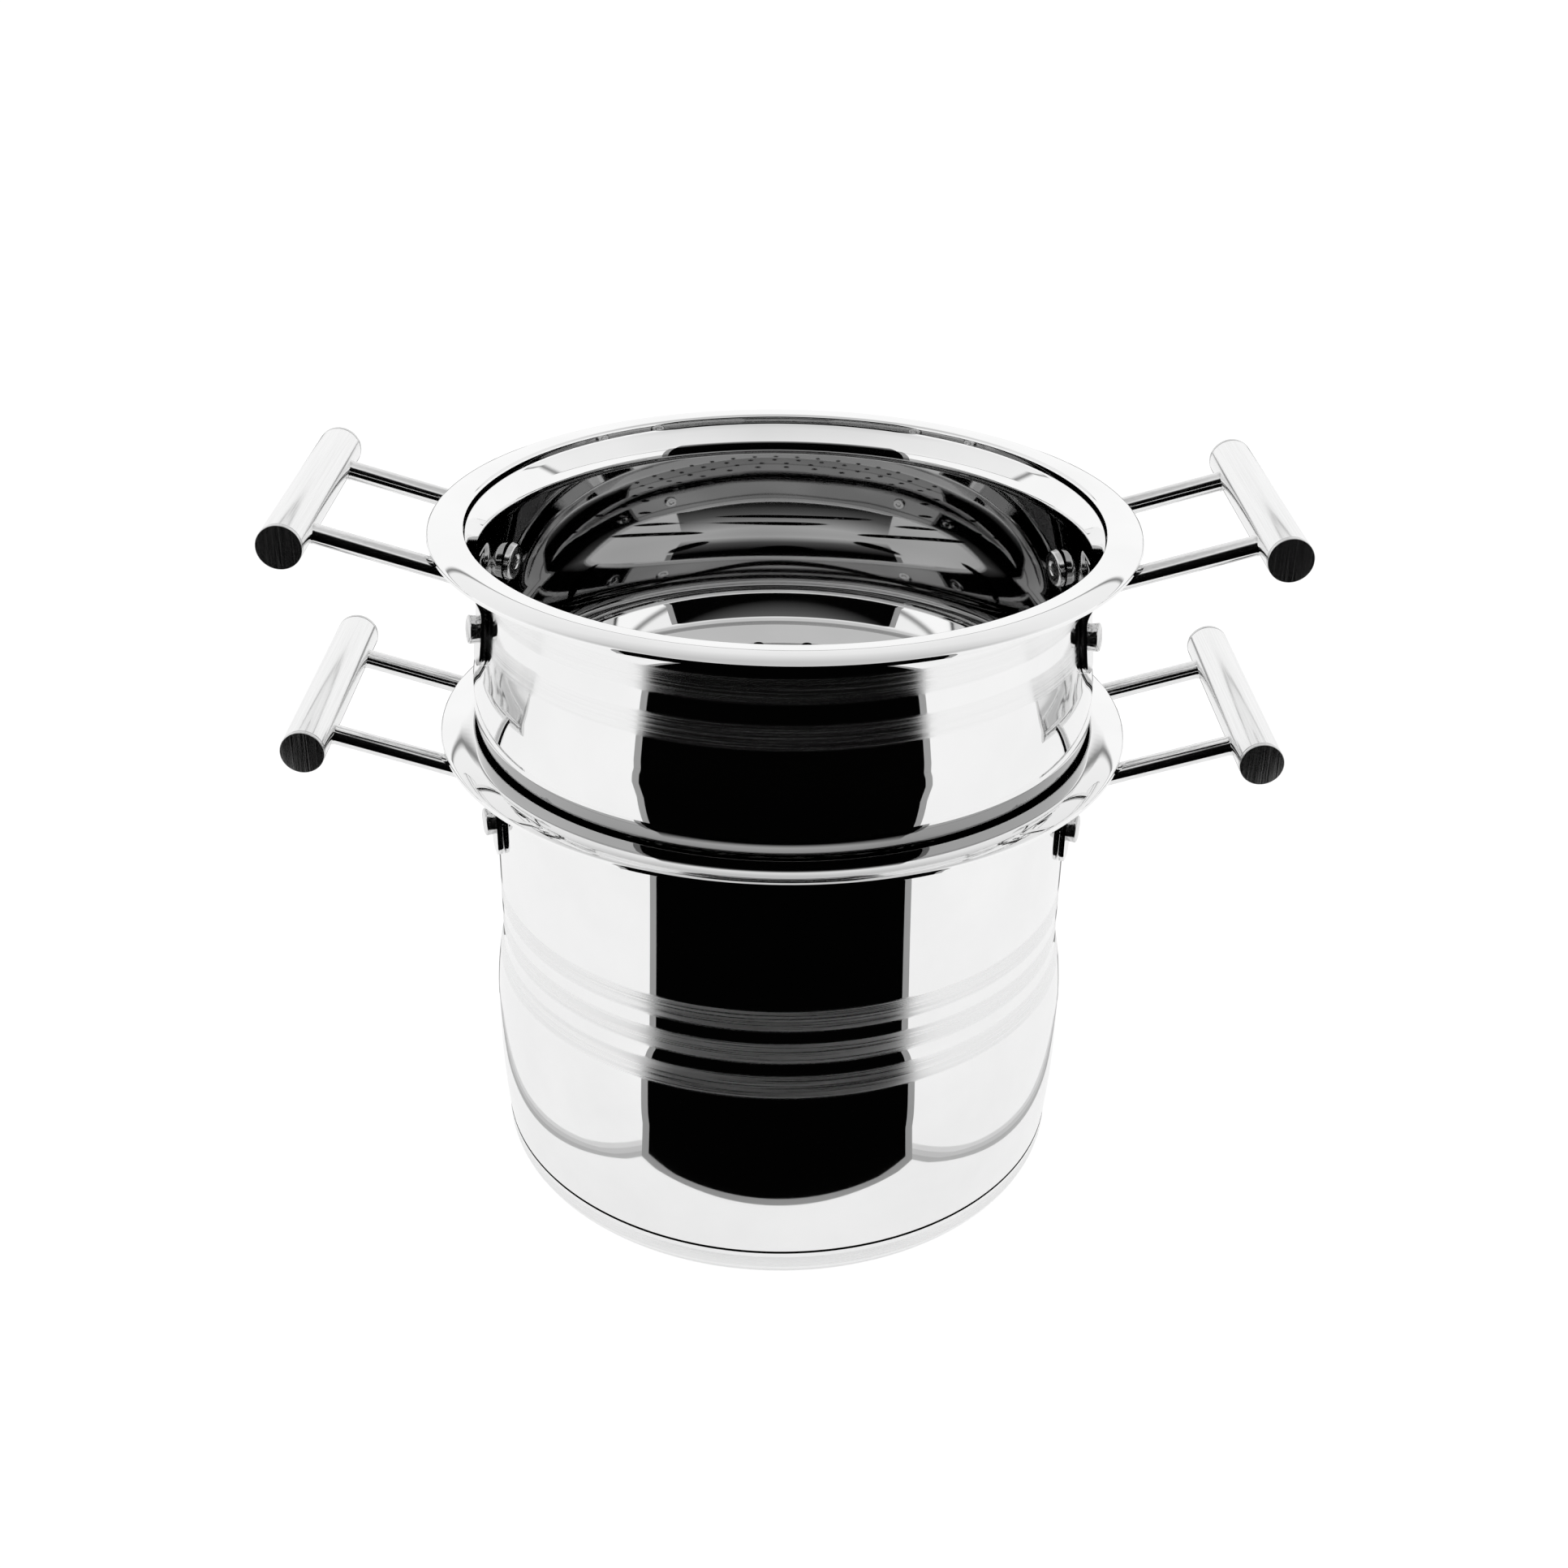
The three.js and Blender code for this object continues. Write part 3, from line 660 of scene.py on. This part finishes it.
both = node(tree, "ShaderNodeAddShader", [(0, pale.outputs["BSDF"]), (1, glow.outputs["Emission"])])
node(tree, "ShaderNodeOutputMaterial", [("Surface", both.outputs["Shader"])])
floor = bmesh.new()
bmesh.ops.create_grid(floor, x_segments=1, y_segments=1, size=FLOOR_REACH,
                      matrix=Matrix.Translation((0, 0, FLOOR_Z)))
set_piece(floor, "floor", board, seen_by_camera=True)

# The dark room starts at the board's curved front edge and widens away from the pot; each stage is a
# distance from the apex of its sides, their half angle and a height. The last stage is its back wall.
ROOM_APEX_Y = -55
ROOM_FRONT_Y = -164
ROOM_FRONT_R = 368
ROOM_FRONT_TURN = 16.6
ROOM_STEPS = 24
ROOM_STAGES = [(600, 48.25, 0), (950, 49.6, 0), (1860, 49.4, 0), (3000, 49, 0), (3000, 49, 3200)]
# A grey edge lies under the room and stands out by this many degrees. Its back wall is lower.
ROOM_EDGE = 2.6
ROOM_EDGE_LIFT = 0.68
ROOM_Z, ROOM_EDGE_Z = 0.4, 0.2


def dark_room(name, material, border, height):
    """The room's floor and back wall, wider by a border in degrees, at a height over the board."""
    room = bmesh.new()
    turn = math.radians(ROOM_FRONT_TURN + border / 4)
    centre = (0, ROOM_FRONT_Y + ROOM_FRONT_R, 0)
    room.verts.new((0, ROOM_FRONT_Y + border * 2, height))
    bmesh.ops.rotate(room, cent=centre, matrix=Matrix.Rotation(-turn, 3, "Z"), verts=room.verts)
    bmesh.ops.spin(room, geom=room.verts[:], cent=centre, axis=(0, 0, 1), dvec=(0, 0, 0),
                   angle=2 * turn, steps=ROOM_STEPS, use_merge=False, use_duplicate=False)
    front = room.edges[:]
    for distance, half_angle, lift in ROOM_STAGES:
        grown = bmesh.ops.extrude_edge_only(room, edges=front)["geom"]
        verts = [item for item in grown if isinstance(item, bmesh.types.BMVert)]
        front = [item for item in grown if isinstance(item, bmesh.types.BMEdge)
                 and item.verts[0] in verts and item.verts[1] in verts]
        bearings = [math.atan2(vert.co.x, ROOM_APEX_Y - vert.co.y) for vert in verts]
        wider = math.radians(half_angle + border) / max(bearings)
        reach = distance + border
        for vert, bearing in zip(verts, bearings):
            vert.co.x = reach * math.sin(bearing * wider)
            vert.co.y = ROOM_APEX_Y - reach * math.cos(bearing * wider)
            vert.co.z = height + lift * (ROOM_EDGE_LIFT if border else 1)
    set_piece(room, name, material)


# The room is black velvet up to its soft boxes, whose light fades in above.
velvet = bpy.data.materials.new("black_velvet")
velvet.use_nodes = True
tree = velvet.node_tree
tree.nodes.clear()
height = node(tree, "ShaderNodeSeparateXYZ", [
    ("Vector", node(tree, "ShaderNodeTexCoord").outputs["Object"])]).outputs["Z"]
share = node(tree, "ShaderNodeMapRange", [("Value", height), ("From Max", ROOM_STAGES[-1][2] / 1000)])
fade = node(tree, "ShaderNodeValToRGB", [("Fac", share.outputs["Result"])], stops=[
    (0.0, linear("#020202")), (0.66, linear("#020202")),
    (0.82, linear("#767676")), (1.0, linear("#f6f6f6"))])
glow = node(tree, "ShaderNodeEmission", [("Color", fade.outputs["Color"])])
node(tree, "ShaderNodeOutputMaterial", [("Surface", glow.outputs["Emission"])])
dark_room("dark_room", velvet, 0, ROOM_Z)
dark_room("dark_room_edge", matt("grey_edge", "#b0b0b0"), ROOM_EDGE, ROOM_EDGE_Z)

# Two grey cards on the board behind the pot show as thin lines along both sides of its walls. Each one
# lies between two sight lines that only just touch the wall, given by a start and a slope.
CARD_NEAR_Y, CARD_FAR_Y, CARD_Z = 80, 3000, 0.2
SIGHT_FROM_Y = -19
INNER_SIGHT, OUTER_SIGHT = (116, 0.17), (113, 0.364)
for way, side in ((1, "right"), (-1, "left")):
    card = bmesh.new()
    bmesh.ops.create_grid(card, x_segments=1, y_segments=1, size=1)
    for vert in card.verts:
        y = CARD_NEAR_Y if vert.co.y < 0 else CARD_FAR_Y
        start, slope = INNER_SIGHT if vert.co.x < 0 else OUTER_SIGHT
        vert.co = Vector((way * (start + slope * (y - SIGHT_FROM_Y)), y, CARD_Z))
    set_piece(card, f"back_card_{side}", matt(f"grey_card_{side}", "#a8a8a8"))

# The board's side edges: lines that curve from the corners of the dark room to the back and pale outwards.
BOARD_EDGE_X = 306
BOARD_EDGE_Y = 40
BOARD_EDGE_Z = 0.1
BOARD_EDGE_R = 452
BOARD_EDGE_WIDE = 4
BOARD_EDGE_START, BOARD_EDGE_TURN, BOARD_EDGE_STEPS = -24.5, 30, 24
BOARD_SHADES = [matt(f"grey_board_edge_{shade}", shade) for shade in ("#d6d6d6", "#e9e9e9", "#ffffff")]
for way, place in [(way, place) for way in (1, -1) for place in range(len(BOARD_SHADES))]:
    line = bmesh.new()
    centre = (-way * BOARD_EDGE_X, BOARD_EDGE_Y, 0)
    inner = BOARD_EDGE_R + place * BOARD_EDGE_WIDE - BOARD_EDGE_X
    across = [line.verts.new((way * x, BOARD_EDGE_Y, BOARD_EDGE_Z))
              for x in (inner, inner + BOARD_EDGE_WIDE)]
    line.edges.new(across)
    start = Matrix.Rotation(math.radians(BOARD_EDGE_START * way), 3, "Z")
    bmesh.ops.rotate(line, cent=centre, matrix=start, verts=line.verts)
    bmesh.ops.spin(line, geom=line.verts[:] + line.edges[:], cent=centre, axis=(0, 0, 1), dvec=(0, 0, 0),
                   angle=math.radians(BOARD_EDGE_TURN * way), steps=BOARD_EDGE_STEPS,
                   use_merge=False, use_duplicate=False)
    set_piece(line, f"board_edge_{way}_{place}", BOARD_SHADES[place])

# The surround is white up to the backdrop's edge, a thin darker line, and greyer overhead.
world = bpy.data.worlds.new("white_surround")
bpy.context.scene.world = world
world.use_nodes = True
tree = world.node_tree
tree.nodes.clear()
upward = node(tree, "ShaderNodeSeparateXYZ", [
    ("Vector", node(tree, "ShaderNodeTexCoord").outputs["Generated"])]).outputs["Z"]
dome = node(tree, "ShaderNodeValToRGB", [("Fac", upward)], stops=[
    (0.0, linear("#ffffff")), (0.44, linear("#ffffff")), (0.455, linear("#707070")),
    (0.47, linear("#f6f6f6")), (0.7, linear("#eeeeee")), (0.88, linear("#c8c8c8"))])
sky = node(tree, "ShaderNodeBackground", [("Color", dome.outputs["Color"]), ("Strength", 1.0)])
node(tree, "ShaderNodeOutputWorld", [("Surface", sky.outputs["Background"])])


# Camera: as far, as high and as long a lens as the photograph's rim and base ellipses give.
# It looks down at the pot, turned and rolled by less than a degree. Angles are in degrees.
LENS = 45.39
SENSOR = 36
NEAREST = 0.01
CAMERA_AT = (-2.8, -705.4, 536.4)
PITCH_DOWN, YAW_RIGHT, ROLL = 28.138, 0.307, 0.860
camera = bpy.data.cameras.new("camera")
camera.sensor_width = SENSOR
camera.lens = LENS
camera.clip_start = NEAREST
viewer = bpy.data.objects.new("camera", camera)
turn = Euler((math.radians(90 - PITCH_DOWN), 0, math.radians(-YAW_RIGHT))).to_matrix()
turn = turn @ Matrix.Rotation(math.radians(ROLL), 3, "Z")
viewer.matrix_world = Matrix.Translation(Vector(CAMERA_AT) / 1000) @ turn.to_4x4()
bpy.context.scene.collection.objects.link(viewer)
bpy.context.scene.camera = viewer
bpy.context.scene.view_settings.view_transform = "Standard"
